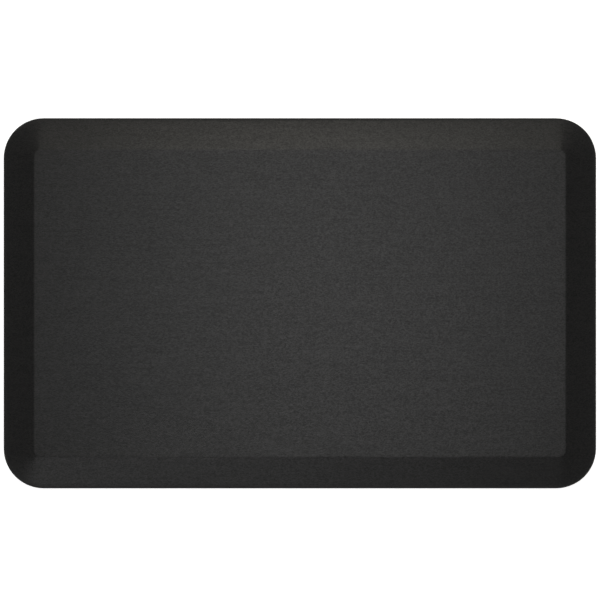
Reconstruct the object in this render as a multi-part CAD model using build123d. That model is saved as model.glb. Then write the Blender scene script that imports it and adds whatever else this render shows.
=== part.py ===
from build123d import *
import math
import os

# Anti fatigue mat: a bonded laminate that lies flat on the floor.
#
# Millimetres, +Z up, X along the long side. The origin is the centre of the underside, on the floor.
# From the floor up the layers are grip_sole, base_scrim, foam_core, skin_backing and top_skin,
# and care_label sits in a recess of the sole.

# Overall size
LENGTH = 812.8
WIDTH = 508.0
THICKNESS = 19.05
CORNER_RADIUS = 55.0

# Outer profile: a low vertical lip, a bevel that climbs inward, and the flat standing surface
LIP_HEIGHT = 4.0
LIP_RADIUS = 4.8
BEVEL_WIDTH = 45.0
CREST_RADIUS = 12.0

# Layer thicknesses
SKIN_THICKNESS = 1.0
BACKING_THICKNESS = 0.5
SCRIM_THICKNESS = 0.5
SOLE_THICKNESS = 1.8

# The skin turns down over the edge of the sole and stops just above the floor
SKIN_HEM_CLEARANCE = 0.6
SCRIM_EDGE_MARGIN = 14.0

# Tread of the sole: a flat band round the edge, and hexagonal pads inside it
TREAD_DEPTH = 0.8
BAND_WIDTH = 24.0
PAD_PITCH = 26.0
PAD_GAP = 3.0
PAD_TO_BAND_GAP = 3.0
PAD_SIDES = 6
PAD_TURN = 30.0
PAD_APOTHEM = (PAD_PITCH - PAD_GAP) / 2
PAD_REACH = PAD_APOTHEM / math.cos(math.pi / PAD_SIDES)

# Label recess on the sole
LABEL_LENGTH = 64.0
LABEL_WIDTH = 34.0
LABEL_CORNER_RADIUS = 3.0
LABEL_THICKNESS = 0.4
LABEL_RECESS_DEPTH = 0.5
LABEL_BOSS_MARGIN = 7.0
LABEL_X = 250.0

BEVEL_ANGLE = math.degrees(math.atan2(THICKNESS - LIP_HEIGHT, BEVEL_WIDTH))

# Half the height band that finds the lip's edges, and how far cutting plates pass the outline
EDGE_TOLERANCE = 0.01
CUT_MARGIN = 5.0


def outline(inset):
    """The mat's plan outline, moved inward by inset."""
    return RectangleRounded(LENGTH - 2 * inset, WIDTH - 2 * inset, CORNER_RADIUS - inset)


def envelope(depth):
    """The solid that lies depth inside the outer surface of the mat, down to the floor."""
    slope = math.radians(BEVEL_ANGLE)
    wall_top = LIP_HEIGHT + depth * math.tan(slope) - depth / math.cos(slope)
    top = THICKNESS - depth
    wall = extrude(outline(depth), wall_top)
    bevel = Pos(0, 0, wall_top) * extrude(outline(depth), top - wall_top, taper=90 - BEVEL_ANGLE)
    body = wall + bevel
    body = fillet(body.faces().sort_by(Axis.Z)[-1].edges(), CREST_RADIUS - depth)
    lowest = wall_top - EDGE_TOLERANCE
    highest = wall_top + EDGE_TOLERANCE
    lip_edges = body.edges().filter_by_position(Axis.Z, lowest, highest)
    return fillet(lip_edges, LIP_RADIUS - depth)


def slab(bottom, top):
    """A plate wider than the mat, between two heights, to cut layers with."""
    plate = Rectangle(LENGTH + 2 * CUT_MARGIN, WIDTH + 2 * CUT_MARGIN)
    return Pos(0, 0, bottom) * extrude(plate, top - bottom)


def make_top_skin():
    """The grained wear skin, with its hem turned down over the sole's edge."""
    return envelope(0) - envelope(SKIN_THICKNESS) - slab(0, SKIN_HEM_CLEARANCE)


def make_skin_backing():
    """The carrier cloth bonded to the inside of the skin."""
    inner = SKIN_THICKNESS + BACKING_THICKNESS
    return envelope(SKIN_THICKNESS) - envelope(inner) - slab(0, SOLE_THICKNESS)


def make_base_scrim():
    """The reinforcing scrim that lies on the sole, sealed inside the foam all round."""
    return Pos(0, 0, SOLE_THICKNESS) * extrude(outline(SCRIM_EDGE_MARGIN), SCRIM_THICKNESS)


def make_foam_core():
    """The foam that fills the space between the backing cloth and the sole."""
    inner = SKIN_THICKNESS + BACKING_THICKNESS
    return envelope(inner) - slab(0, SOLE_THICKNESS) - make_base_scrim()


def label_outline(margin):
    """The label's outline, grown by margin."""
    sketch = RectangleRounded(
        LABEL_LENGTH + 2 * margin, LABEL_WIDTH + 2 * margin, LABEL_CORNER_RADIUS + margin
    )
    return Pos(LABEL_X, 0) * sketch


def pad_centres():
    """Centres of the hexagonal pads that fit whole between the band and the label's boss."""
    half_length = LENGTH / 2 - BAND_WIDTH - PAD_TO_BAND_GAP - PAD_REACH
    half_width = WIDTH / 2 - BAND_WIDTH - PAD_TO_BAND_GAP - PAD_REACH
    boss_length = LABEL_LENGTH / 2 + LABEL_BOSS_MARGIN + PAD_TO_BAND_GAP + PAD_REACH
    boss_width = LABEL_WIDTH / 2 + LABEL_BOSS_MARGIN + PAD_TO_BAND_GAP + PAD_REACH
    row_pitch = PAD_PITCH * math.sqrt(3) / 2
    rows = int(half_width / row_pitch)
    columns = int(half_length / PAD_PITCH) + 1
    centres = []
    for row in range(-rows, rows + 1):
        shift = PAD_PITCH / 2 if row % 2 else 0.0
        for column in range(-columns, columns + 1):
            x = column * PAD_PITCH + shift
            y = row * row_pitch
            in_field = abs(x) <= half_length
            on_label = abs(x - LABEL_X) < boss_length and abs(y) < boss_width
            if in_field and not on_label:
                centres.append((x, y))
    return centres


def make_grip_sole():
    """The anti-slip underside: a plate with a raised band, hexagonal pads and the label's boss."""
    base = envelope(SKIN_THICKNESS)
    plate = base & slab(TREAD_DEPTH, SOLE_THICKNESS)
    band = (base & slab(0, TREAD_DEPTH)) - extrude(outline(BAND_WIDTH), TREAD_DEPTH)
    boss = extrude(label_outline(LABEL_BOSS_MARGIN), TREAD_DEPTH)
    hexagon = RegularPolygon(PAD_APOTHEM, PAD_SIDES, major_radius=False, rotation=PAD_TURN)
    pad = extrude(hexagon, TREAD_DEPTH)
    pads = [Pos(x, y) * pad for x, y in pad_centres()]
    sole = plate + [band, boss, *pads]
    return sole - extrude(label_outline(0), LABEL_RECESS_DEPTH)


def make_care_label():
    """The blank label, bonded to the ceiling of its recess and clear of the floor."""
    underside = LABEL_RECESS_DEPTH - LABEL_THICKNESS
    return Pos(0, 0, underside) * extrude(label_outline(0), LABEL_THICKNESS)


PARTS = {
    "top_skin": make_top_skin,
    "skin_backing": make_skin_backing,
    "foam_core": make_foam_core,
    "base_scrim": make_base_scrim,
    "grip_sole": make_grip_sole,
    "care_label": make_care_label,
}

os.makedirs("parts", exist_ok=True)
for node, make in PARTS.items():
    export_step(make(), f"parts/{node}.step")
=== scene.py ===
"""The looks of the anti fatigue mat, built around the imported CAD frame.

Metres, in the CAD's own frame: X along the long side, Y along the short side, Z up from the floor.
Overall sizes are read from the frame. The profile's radii repeat the CAD's driving dimensions.
"""

import math

import bmesh
import bpy
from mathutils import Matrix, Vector, noise


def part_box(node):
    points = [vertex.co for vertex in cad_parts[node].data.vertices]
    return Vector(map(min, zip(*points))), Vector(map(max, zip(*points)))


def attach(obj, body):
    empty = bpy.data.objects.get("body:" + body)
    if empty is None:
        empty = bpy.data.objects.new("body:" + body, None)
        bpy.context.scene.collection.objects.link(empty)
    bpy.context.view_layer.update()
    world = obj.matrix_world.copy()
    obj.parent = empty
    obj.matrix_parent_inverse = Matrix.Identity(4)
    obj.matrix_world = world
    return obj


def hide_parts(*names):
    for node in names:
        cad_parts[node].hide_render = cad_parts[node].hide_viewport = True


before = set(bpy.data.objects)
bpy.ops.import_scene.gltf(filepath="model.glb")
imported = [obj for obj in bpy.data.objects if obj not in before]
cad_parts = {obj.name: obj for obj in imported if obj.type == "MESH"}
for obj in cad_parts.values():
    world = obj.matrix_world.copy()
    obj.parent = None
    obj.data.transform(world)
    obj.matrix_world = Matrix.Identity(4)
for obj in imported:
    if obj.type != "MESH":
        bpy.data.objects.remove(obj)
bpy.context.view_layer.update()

MM = 0.001

# ---------------------------------------------------------------- sizes

skin_low, skin_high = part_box("top_skin")
_, backing_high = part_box("skin_backing")
foam_low, foam_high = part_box("foam_core")
scrim_low, scrim_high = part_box("base_scrim")

LENGTH = skin_high[0] - skin_low[0]
WIDTH = skin_high[1] - skin_low[1]
THICKNESS = skin_high[2]
HEM_HEIGHT = skin_low[2]
SOLE_TOP = foam_low[2]
SKIN_THICKNESS = skin_high[2] - backing_high[2]
BACKING_THICKNESS = backing_high[2] - foam_high[2]

SCRIM_INSET = LENGTH / 2 - scrim_high[0]

CORNER_RADIUS = 55 * MM
LIP_HEIGHT = 4 * MM
LIP_RADIUS = 4.8 * MM
BEVEL_WIDTH = 45 * MM
CREST_RADIUS = 12 * MM
BEVEL_ANGLE = math.atan2(THICKNESS - LIP_HEIGHT, BEVEL_WIDTH)

CROWN_TURN = math.radians(2.2)  # how far the skin's bevel turns outward at each end
HEM_RADIUS = 0.25 * MM  # the skin's cut edge at the floor
GLUE_GAP = 0.02 * MM  # between the skin and the carrier cloth
SOLE_EDGE = 0.2 * MM  # the rounding on the sole's sharp edges

SWELL_DEPTH = 14 * MM  # how far below the flat the foam's unevenness reaches
BROAD_SWELL, BROAD_PER_METRE = 0.10 * MM, 9
SMALL_SWELL, SMALL_PER_METRE = 0.03 * MM, 34

TAPE_PITCH = 12 * MM
TAPE_WIDTH = 7.4 * MM
TAPE_THICKNESS = 0.18 * MM
TAPE_RISE = 0.11 * MM  # how far a flat yarn rises or dips where it crosses another
CROSSING_REACH = 0.52 * TAPE_WIDTH  # half of each level stretch

# ---------------------------------------------------------------- mesh code

COLUMNS = 176
ROWS = 100
CORNER_STEPS = 14
LIP_STEPS, BEVEL_STEPS, CREST_STEPS = 6, 8, 4
FLAT_RINGS = (0.9, 0.95, 1.0)  # rings outside the flat's grid, as shares of the corner radius
CORNER_X = LENGTH / 2 - CORNER_RADIUS
CORNER_Y = WIDTH / 2 - CORNER_RADIUS


def loop_at(inset):
    """Plan points round the mat at an inset. Every inset has as many points, in the same order."""
    radius = CORNER_RADIUS - inset
    centres = [
        Vector((CORNER_X, CORNER_Y)),
        Vector((-CORNER_X, CORNER_Y)),
        Vector((-CORNER_X, -CORNER_Y)),
        Vector((CORNER_X, -CORNER_Y)),
    ]
    points = []
    for quarter, centre in enumerate(centres):
        for step in range(CORNER_STEPS + 1):
            angle = math.pi / 2 * (quarter + step / CORNER_STEPS)
            points.append(centre + radius * Vector((math.cos(angle), math.sin(angle))))
        start = points[-1]
        end = start + centres[(quarter + 1) % 4] - centre
        cells = ROWS if quarter % 2 else COLUMNS
        for cell in range(1, cells):
            points.append(start.lerp(end, cell / cells))
    return points


def arc(centre_inset, centre_height, radius, start, end, steps):
    """(inset, height) points of an arc. Angles are from straight out, 0, to straight up, 90 degrees."""
    points = []
    for step in range(steps + 1):
        angle = start + (end - start) * step / steps
        points.append(
            (centre_inset - radius * math.cos(angle), centre_height + radius * math.sin(angle))
        )
    return points


def profile(depth, bottom, fine, crown=0.0):
    """(inset, height) from the foot of the lip to the flat, depth inside the outer surface.

    The bevel turns outward by crown radians at each end, and fine multiplies the steps.
    """
    wall_top = LIP_HEIGHT + depth * math.tan(BEVEL_ANGLE) - depth / math.cos(BEVEL_ANGLE)
    top = THICKNESS - depth
    square = math.pi / 2
    lip = LIP_RADIUS - depth
    lip_height = wall_top - lip * math.tan((square - BEVEL_ANGLE) / 2)
    lip_start = math.asin(max(0.0, (bottom - lip_height) / lip))
    crest = CREST_RADIUS - depth
    crest_edge = depth + (top - wall_top) / math.tan(BEVEL_ANGLE)
    crest_inset = crest_edge + crest * math.tan(BEVEL_ANGLE / 2)
    up_slope = square - BEVEL_ANGLE
    lip_end, crest_start = up_slope - crown, up_slope + crown
    lip_arc = arc(depth + lip, lip_height, lip, lip_start, lip_end, LIP_STEPS * fine)
    crest_arc = arc(crest_inset, top - crest, crest, crest_start, square, CREST_STEPS * fine)
    foot, head = Vector(lip_arc[-1]), Vector(crest_arc[0])
    run = head - foot
    outward = Vector((-run.y, run.x))
    bevel_steps = BEVEL_STEPS * fine
    bevel = []
    for step in range(1, bevel_steps):
        share = step / bevel_steps
        bevel.append(tuple(foot + run * share + outward * crown * share * (1 - share)))
    return lip_arc + bevel + crest_arc


def new_ring(mesh, inset, height):
    return [mesh.verts.new((x, y, height)) for x, y in loop_at(inset)]


def bridge(mesh, lower, upper):
    """Quads between two rings of as many points."""
    count = len(lower)
    for i in range(count):
        j = (i + 1) % count
        mesh.faces.new((lower[i], lower[j], upper[j], upper[i]))


def stack(mesh, points):
    """Rings at (inset, height) points with quads between them. Returns the first and last ring."""
    rings = [new_ring(mesh, inset, height) for inset, height in points]
    for lower, upper in zip(rings, rings[1:]):
        bridge(mesh, lower, upper)
    return rings[0], rings[-1]


def flat_grid(mesh, height):
    """The flat's grid inside the corner centres. Its edge meets the ring at the corner radius."""
    grid = []
    for row in range(ROWS + 1):
        y = CORNER_Y * (2 * row / ROWS - 1)
        grid.append(
            [
                mesh.verts.new((CORNER_X * (2 * column / COLUMNS - 1), y, height))
                for column in range(COLUMNS + 1)
            ]
        )
    for low_row, high_row in zip(grid, grid[1:]):
        for i in range(COLUMNS):
            mesh.faces.new((low_row[i], low_row[i + 1], high_row[i + 1], high_row[i]))


def finish_mesh(mesh, name, smooth=True):
    """Welds, turns the faces outward and makes the object."""
    bmesh.ops.remove_doubles(mesh, verts=mesh.verts, dist=1e-6)
    bmesh.ops.recalc_face_normals(mesh, faces=mesh.faces)
    for face in mesh.faces:
        face.smooth = smooth
    data = bpy.data.meshes.new(name)
    mesh.to_mesh(data)
    mesh.free()
    piece = bpy.data.objects.new(name, data)
    bpy.context.scene.collection.objects.link(piece)
    return piece


def undulate(piece):
    """The soft unevenness of foam under a skin, strongest on the flat and gone at the lip."""
    broad_layer, small_layer = 1.7, 6.1
    for vertex in piece.data.vertices:
        x, y, z = vertex.co
        if z < THICKNESS - SWELL_DEPTH:
            continue
        broad = noise.noise(Vector((x * BROAD_PER_METRE, y * BROAD_PER_METRE, broad_layer)))
        small = noise.noise(Vector((x * SMALL_PER_METRE, y * SMALL_PER_METRE, small_layer)))
        rise = min(1.0, (z - LIP_HEIGHT) / (THICKNESS - LIP_HEIGHT))
        vertex.co.z -= (BROAD_SWELL * abs(broad) + SMALL_SWELL * abs(small)) * rise


def outer_face(depth, bottom, crown=0.0):
    """The profile of a layer's outer face, out to the ring that the flat's grid meets."""
    rings = [(share * CORNER_RADIUS, THICKNESS - depth) for share in FLAT_RINGS]
    return profile(depth, bottom, 2, crown) + rings


def build_layer(name, depth, inner_depth, bottom, hem_radius=0.0, crown=0.0):
    """A tray of even thickness: its outer face is depth inside the mat's surface."""
    mesh = bmesh.new()
    outer = outer_face(depth, bottom + hem_radius, crown)
    if hem_radius:
        hem = [
            (depth + hem_radius * (1 - math.cos(turn)), bottom + hem_radius * (1 - math.sin(turn)))
            for turn in (math.pi / 2, math.pi / 4)
        ]
        outer = hem + outer
    inner = profile(inner_depth, bottom, 1)
    foot_outer, _ = stack(mesh, outer)
    foot_inner, rim_inner = stack(mesh, inner)
    bridge(mesh, foot_outer, foot_inner)
    flat_grid(mesh, THICKNESS - depth)
    mesh.faces.new(rim_inner)
    return finish_mesh(mesh, name)


def build_core(name, depth, bottom, recess_inset, recess_top):
    """The foam: a closed block whose underside has the shallow recess that the scrim lies in."""
    mesh = bmesh.new()
    foot, _ = stack(mesh, outer_face(depth, bottom))
    flat_grid(mesh, THICKNESS - depth)
    recess_wall = [(recess_inset, bottom), (recess_inset, recess_top)]
    recess_foot, recess_rim = stack(mesh, recess_wall)
    bridge(mesh, foot, recess_foot)
    mesh.faces.new(recess_rim)
    return finish_mesh(mesh, name)


def outline_reach(across, half_along, half_across, radius):
    """Half the length of the rounded outline at a distance across its middle line."""
    beyond = abs(across) - (half_across - radius)
    if beyond <= 0:
        return half_along
    return half_along - radius + math.sqrt(max(0.0, radius * radius - beyond * beyond))


def add_tape(mesh, along_x, across, reach, middle, first_side):
    """One flat yarn of the scrim, closed at both ends, over and under the yarns that it crosses."""
    count = int(reach / TAPE_PITCH - 0.5)
    stations = [(-reach, 0.0)]
    for crossing in range(-count, count + 1):
        rise = TAPE_RISE * (1 if (crossing + first_side) % 2 else -1)
        centre = crossing * TAPE_PITCH
        stations.append((centre - CROSSING_REACH, rise))
        stations.append((centre + CROSSING_REACH, rise))
    stations.append((reach, 0.0))
    rings = []
    for along, rise in stations:
        ring = []
        for side, lift in ((-1, -1), (1, -1), (1, 1), (-1, 1)):
            x, y = along, across + side * TAPE_WIDTH / 2
            z = middle + rise + lift * TAPE_THICKNESS / 2
            ring.append(mesh.verts.new((x, y, z) if along_x else (y, x, z)))
        rings.append(ring)
    for lower, upper in zip(rings, rings[1:]):
        bridge(mesh, lower, upper)
    mesh.faces.new(rings[0])
    mesh.faces.new(rings[-1])


def build_scrim(name, radius):
    """An open plain weave of flat yarns, cut to the scrim's rounded outline."""
    half_length, half_width = scrim_high[0], scrim_high[1]
    middle = (scrim_low[2] + scrim_high[2]) / 2
    mesh = bmesh.new()
    for along_x, half_along, half_across in (
        (True, half_length, half_width),
        (False, half_width, half_length),
    ):
        count = int((half_across - TAPE_WIDTH) / TAPE_PITCH)
        for yarn in range(-count, count + 1):
            across = yarn * TAPE_PITCH
            edge = abs(across) + TAPE_WIDTH / 2
            reach = outline_reach(edge, half_along, half_across, radius)
            add_tape(mesh, along_x, across, reach, middle, yarn + along_x)
    return finish_mesh(mesh, name, smooth=False)


# ---------------------------------------------------------------- materials


class Shader:
    """A material's node tree, with short calls for the nodes that this scene uses."""

    def __init__(self, name):
        self.material = bpy.data.materials.new(name)
        self.material.use_nodes = True
        self.nodes = self.material.node_tree.nodes
        self.links = self.material.node_tree.links
        self.bsdf = self.nodes["Principled BSDF"]
        self.place = self.nodes.new("ShaderNodeTexCoord").outputs["Object"]

    def set(self, **values):
        """Constant values on the Principled shader's own sockets."""
        for key, value in values.items():
            self.bsdf.inputs[key.replace("_", " ")].default_value = value

    def stretched(self, x, y, z):
        """The object's coordinates times a scale along each axis."""
        node = self.nodes.new("ShaderNodeVectorMath")
        node.operation = "MULTIPLY"
        self.links.new(self.place, node.inputs[0])
        node.inputs[1].default_value = (x, y, z)
        return node.outputs["Vector"]

    def height(self):
        """The height above the floor."""
        split = self.nodes.new("ShaderNodeSeparateXYZ")
        self.links.new(self.place, split.inputs["Vector"])
        return split.outputs["Z"]

    def noise(self, place, scale, detail=2.0, roughness=0.5):
        """Cloudy values with about scale features to the metre."""
        node = self.nodes.new("ShaderNodeTexNoise")
        self.links.new(place, node.inputs["Vector"])
        node.inputs["Scale"].default_value = scale
        node.inputs["Detail"].default_value = detail
        node.inputs["Roughness"].default_value = roughness
        return node.outputs["Fac"]

    def cells(self, place, scale, feature="F1", randomness=1.0):
        """The distance from the middle of each cell, with about scale cells to the metre."""
        node = self.nodes.new("ShaderNodeTexVoronoi")
        node.feature = feature
        self.links.new(place, node.inputs["Vector"])
        node.inputs["Scale"].default_value = scale
        node.inputs["Randomness"].default_value = randomness
        return node.outputs["Distance"]

    def cell_tone(self, place, scale):
        """One random value for each cell."""
        distance = self.cells(place, scale)
        split = self.nodes.new("ShaderNodeSeparateColor")
        self.links.new(distance.node.outputs["Color"], split.inputs["Color"])
        return split.outputs["Red"]

    def math(self, operation, first, second=0.0):
        node = self.nodes.new("ShaderNodeMath")
        node.operation = operation
        for socket, value in zip(node.inputs, (first, second)):
            if isinstance(value, (int, float)):
                socket.default_value = value
            else:
                self.links.new(value, socket)
        return node.outputs[0]

    def remap(self, value, low, high, new_low, new_high):
        node = self.nodes.new("ShaderNodeMapRange")
        self.links.new(value, node.inputs["Value"])
        for key, number in (
            ("From Min", low),
            ("From Max", high),
            ("To Min", new_low),
            ("To Max", new_high),
        ):
            node.inputs[key].default_value = number
        return node.outputs["Result"]

    def blend(self, share, first, second):
        """A colour between two colours."""
        node = self.nodes.new("ShaderNodeMix")
        node.data_type = "RGBA"
        self.links.new(share, node.inputs["Factor"])
        for socket, value in ((node.inputs[6], first), (node.inputs[7], second)):
            if isinstance(value, tuple):
                socket.default_value = (*value, 1)
            else:
                self.links.new(value, socket)
        return node.outputs[2]

    def bump(self, height, distance, strength=1.0, over=None):
        node = self.nodes.new("ShaderNodeBump")
        node.inputs["Strength"].default_value = strength
        node.inputs["Distance"].default_value = distance
        self.links.new(height, node.inputs["Height"])
        if over is not None:
            self.links.new(over, node.inputs["Normal"])
        return node.outputs["Normal"]

    def finish(self, color=None, roughness=None, normal=None):
        for key, source in (("Base Color", color), ("Roughness", roughness), ("Normal", normal)):
            if source is not None:
                self.links.new(source, self.bsdf.inputs[key])
        return self.material


def skin_material():
    """Black embossed polyurethane: a fine pebble drawn out along X, with gloss and blackness that
    vary from pebble to pebble, faint long streaks, colour darker in the wrinkles' hollows as painted
    shade, and a matte rim at the lip whose near-black colour is painted shade."""
    pebbles_per_metre, wrinkles_per_metre, streaks_per_metre = 1080, 860, 300
    lip_matte_and_shade_foot, lip_matte_and_shade_top = 2.8 * MM, 5.9 * MM
    rim_roughness, dull_roughness, polished_roughness = 1.0, 0.49, 0.33
    # painted shade: the lip band's near-black colour stands in for the shade along the lip's edge
    lip_painted_shade_black, dark_tone_and_crease_shade_black = (0.0005, 0.0005, 0.0005), (0.003, 0.003, 0.003)
    polished_black = (0.0186, 0.0184, 0.0182)

    shader = Shader("embossed_polyurethane")
    shader.set(Specular_IOR_Level=0.3)
    pebble_place = shader.stretched(0.58, 1, 1)
    pebble = shader.cells(pebble_place, pebbles_per_metre, "SMOOTH_F1")
    tone = shader.cell_tone(pebble_place, pebbles_per_metre)
    wrinkle_place = shader.stretched(0.31, 1, 1)
    wrinkles = shader.noise(wrinkle_place, wrinkles_per_metre, detail=2, roughness=0.6)
    micro = shader.noise(shader.place, 2600, detail=2)
    relief = shader.math("SUBTRACT", wrinkles, shader.math("MULTIPLY", pebble, 0.5))
    coarse = shader.bump(relief, 0.18 * MM)
    normal = shader.bump(micro, 0.02 * MM, 0.4, coarse)

    streaks = shader.noise(shader.stretched(0.05, 1, 0.05), streaks_per_metre, detail=2)
    # partly painted shade: the wrinkles that raise the relief also lighten the colour, so their hollows
    # are darker; the pebble tone and the streaks are random tone
    shade = shader.math("MULTIPLY", shader.math("ADD", tone, wrinkles), 0.6)
    shade = shader.math("ADD", shade, shader.remap(streaks, 0, 1, -0.14, 0.14))
    gloss_tone_and_crease_shade = shader.remap(shade, 0.3, 0.9, 0, 1)
    # painted shade: below this band the colour turns near black, and the roughness rises to that of the
    # matte rim
    above_lip_matte_and_shade = shader.remap(shader.height(), lip_matte_and_shade_foot, lip_matte_and_shade_top, 0, 1)
    color = shader.blend(above_lip_matte_and_shade, lip_painted_shade_black, shader.blend(gloss_tone_and_crease_shade, dark_tone_and_crease_shade_black, polished_black))
    smoother = shader.remap(
        gloss_tone_and_crease_shade, 0, 1, dull_roughness - rim_roughness, polished_roughness - rim_roughness
    )
    roughness = shader.math("ADD", shader.math("MULTIPLY", above_lip_matte_and_shade, smoother), rim_roughness)
    return shader.finish(color, roughness, normal)


def cloth_material():
    """Charcoal knitted carrier cloth."""
    shader = Shader("knitted_carrier_cloth")
    shader.set(Specular_IOR_Level=0.2, Sheen_Weight=0.3)
    stitches = shader.cells(shader.stretched(1, 1.6, 1), 900, "F1", 0.25)
    fuzz = shader.noise(shader.place, 1800, detail=3)
    color = shader.blend(fuzz, (0.03, 0.03, 0.031), (0.075, 0.075, 0.077))
    roughness = shader.remap(fuzz, 0, 1, 0.8, 0.95)
    return shader.finish(color, roughness, shader.bump(stitches, 0.2 * MM, 0.8))


def foam_material():
    """Dark polyurethane foam with its open cells."""
    shader = Shader("cellular_foam")
    shader.set(Specular_IOR_Level=0.25)
    pores = shader.cells(shader.place, 900, "F1")
    fine = shader.cells(shader.place, 2400, "F1")
    tone = shader.noise(shader.place, 14, detail=4)
    color = shader.blend(tone, (0.045, 0.045, 0.047), (0.075, 0.074, 0.073))
    roughness = shader.remap(fine, 0, 1, 0.85, 0.98)
    normal = shader.bump(fine, 0.15 * MM, 0.6, shader.bump(pores, 0.4 * MM, 0.9))
    return shader.finish(color, roughness, normal)


def scrim_material():
    """Natural polyester yarn."""
    shader = Shader("polyester_yarn")
    shader.set(Specular_IOR_Level=0.35)
    strands = shader.noise(shader.place, 3000, detail=2)
    color = shader.blend(strands, (0.42, 0.41, 0.37), (0.62, 0.61, 0.57))
    roughness = shader.remap(strands, 0, 1, 0.55, 0.8)
    return shader.finish(color, roughness, shader.bump(strands, 0.08 * MM, 0.7))


def sole_material():
    """Matte black polyurethane with a fine gripping texture."""
    shader = Shader("grip_polyurethane")
    shader.set(Specular_IOR_Level=0.4)
    pimples = shader.cells(shader.place, 700, "SMOOTH_F1", 0.6)
    micro = shader.noise(shader.place, 3200, detail=2)
    tone = shader.noise(shader.place, 18, detail=4, roughness=0.6)
    color = shader.blend(tone, (0.012, 0.012, 0.0125), (0.02, 0.02, 0.0205))
    roughness = shader.remap(micro, 0, 1, 0.52, 0.7)
    normal = shader.bump(micro, 0.03 * MM, 0.5, shader.bump(pimples, 0.15 * MM, 0.7))
    return shader.finish(color, roughness, normal)


def label_material():
    """Blank woven label, pale grey."""
    shader = Shader("blank_label")
    shader.set(Specular_IOR_Level=0.3)
    weave = shader.cells(shader.stretched(1, 1.5, 1), 1500, "F1", 0.1)
    tone = shader.noise(shader.place, 60, detail=3)
    color = shader.blend(tone, (0.5, 0.5, 0.48), (0.62, 0.61, 0.59))
    roughness = shader.remap(tone, 0, 1, 0.6, 0.75)
    return shader.finish(color, roughness, shader.bump(weave, 0.06 * MM, 0.6))


def floor_material():
    """Plain pale floor, lit a little from within like a light table."""
    shader = Shader("pale_floor")
    shader.set(Specular_IOR_Level=0.1, Roughness=0.9, Base_Color=(0.86, 0.86, 0.86, 1))
    shader.set(Emission_Color=(1, 1, 1, 1), Emission_Strength=0.6)
    return shader.finish()


# ---------------------------------------------------------------- pieces


def wear(piece, material, node):
    """Gives a new piece its material, slot and body, and hides the CAD node it stands for."""
    piece.data.materials.append(material)
    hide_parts(node)
    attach(piece, "root")


def make_skin():
    skin = build_layer("embossed_skin", 0.0, SKIN_THICKNESS, HEM_HEIGHT, HEM_RADIUS, CROWN_TURN)
    undulate(skin)
    wear(skin, skin_material(), "top_skin")


def make_backing():
    outer_depth = SKIN_THICKNESS + GLUE_GAP
    inner_depth = SKIN_THICKNESS + BACKING_THICKNESS
    backing = build_layer("carrier_cloth", outer_depth, inner_depth, SOLE_TOP)
    wear(backing, cloth_material(), "skin_backing")


def make_foam():
    depth = SKIN_THICKNESS + BACKING_THICKNESS
    foam = build_core("moulded_foam", depth, SOLE_TOP, SCRIM_INSET, scrim_high[2])
    wear(foam, foam_material(), "foam_core")


def make_scrim():
    scrim = build_scrim("woven_scrim", CORNER_RADIUS - SCRIM_INSET)
    wear(scrim, scrim_material(), "base_scrim")


def soften_edges(node, width):
    """A small rounding on a CAD node's sharp edges."""
    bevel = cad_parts[node].modifiers.new("soft_edges", "BEVEL")
    bevel.width = width
    bevel.segments = 2
    bevel.limit_method = "ANGLE"
    bevel.angle_limit = math.radians(50)


def dress_node(node, material):
    """A CAD node whose shape is right keeps it and gets its material."""
    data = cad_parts[node].data
    data.materials.clear()
    data.materials.append(material)


# ---------------------------------------------------------------- studio


FLOOR_REACH = 60  # from the middle to each side
FLOOR_GAP = 0.05 * MM  # below the sole, so that the two faces never coincide


def make_floor():
    mesh = bmesh.new()
    bmesh.ops.create_grid(mesh, x_segments=4, y_segments=4, size=FLOOR_REACH)
    floor = finish_mesh(mesh, "floor")
    floor.location.z = -FLOOR_GAP
    floor.data.materials.append(floor_material())


def softbox(name, place, width, height, power, color=(1, 1, 1)):
    """An area light that faces the mat."""
    light = bpy.data.lights.new(name, "AREA")
    light.shape = "RECTANGLE"
    light.size = width
    light.size_y = height
    light.energy = power
    light.color = color
    lamp = bpy.data.objects.new(name, light)
    lamp.location = place
    lamp.rotation_euler = (-Vector(place)).to_track_quat("-Z", "Y").to_euler()
    bpy.context.scene.collection.objects.link(lamp)


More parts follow.
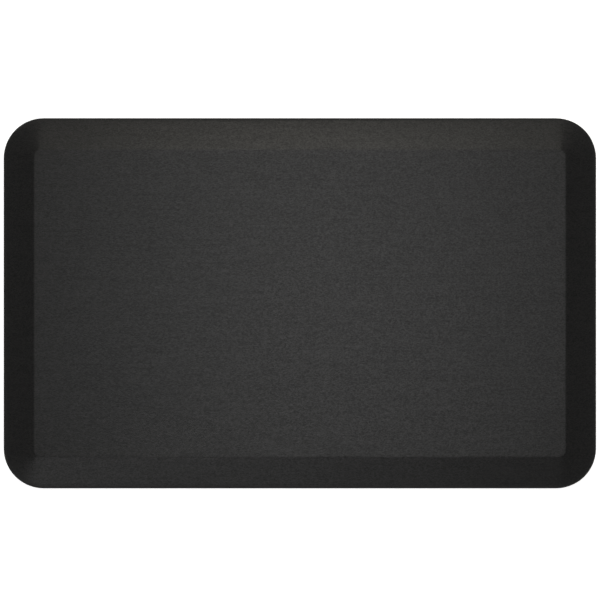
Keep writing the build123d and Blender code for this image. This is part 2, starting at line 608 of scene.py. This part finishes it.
def make_lights():
    """Soft light from overhead and behind, a little warm behind, and a fainter fill in front."""
    overhead, stand = 2.6, 2.4  # heights of the boxes over the mat and of those on stands
    warm = (1.0, 0.965, 0.87)
    softbox("overhead_box", (0, 0, overhead), 1.3, 1.8, 12.1)
    softbox("overhead_left_box", (-0.8, 0, overhead), 0.5, 1.6, 2.2)
    softbox("overhead_right_box", (0.5, 0, overhead), 0.7, 1.6, 6)
    softbox("overhead_front_box", (0.1, -0.8, overhead), 1.4, 0.5, 2)
    softbox("high_back_box", (0, 1.2, overhead), 1.2, 0.8, 6)
    softbox("middle_back_box", (0, 1.8, 2.5), 1.2, 0.6, 10, warm)
    softbox("back_box", (0, 2.4, stand), 0.8, 1.0, 9, warm)
    softbox("back_left_box", (-0.52, 2.4, stand), 0.35, 1.0, 2.2, warm)
    softbox("back_right_box", (0.7, 2.4, stand), 0.8, 1.0, 5.5, warm)
    softbox("front_box", (-0.12, -2.4, stand), 1.2, 1.0, 7.6)
    softbox("front_left_box", (-1.3, -2.3, 2.3), 1.0, 1.0, 8.5)


def make_world():
    """A pale wall round the horizon under a dim ceiling."""
    world = bpy.data.worlds.new("studio")
    world.use_nodes = True
    nodes = world.node_tree.nodes
    links = world.node_tree.links
    direction = nodes.new("ShaderNodeTexCoord").outputs["Generated"]
    split = nodes.new("ShaderNodeSeparateXYZ")
    links.new(direction, split.inputs["Vector"])
    ramp = nodes.new("ShaderNodeMapRange")
    ramp.interpolation_type = "SMOOTHSTEP"
    links.new(split.outputs["Z"], ramp.inputs["Value"])
    for key, value in (("From Min", 0.2), ("From Max", 0.4), ("To Min", 0.66), ("To Max", 0.01)):
        ramp.inputs[key].default_value = value
    links.new(ramp.outputs["Result"], nodes["Background"].inputs["Color"])
    bpy.context.scene.world = world


CAMERA_HEIGHT = 1.65
FRAME_WIDTH = 0.8238  # at the floor
MAT_BELOW_CENTRE = 4.5 * MM
MAT_LEFT_OF_CENTRE = 0.17 * MM


def make_camera():
    """Straight above the mat, which almost fills the frame from side to side."""
    data = bpy.data.cameras.new("camera")
    data.sensor_width = 36
    data.lens = data.sensor_width * CAMERA_HEIGHT / FRAME_WIDTH
    camera = bpy.data.objects.new("camera", data)
    camera.location = (MAT_LEFT_OF_CENTRE, MAT_BELOW_CENTRE, CAMERA_HEIGHT)
    bpy.context.scene.collection.objects.link(camera)
    bpy.context.scene.camera = camera
    bpy.context.scene.view_settings.view_transform = "Standard"


make_camera()
make_skin()
make_backing()
make_foam()
make_scrim()
dress_node("grip_sole", sole_material())
soften_edges("grip_sole", SOLE_EDGE)
dress_node("care_label", label_material())
make_floor()
make_lights()
make_world()
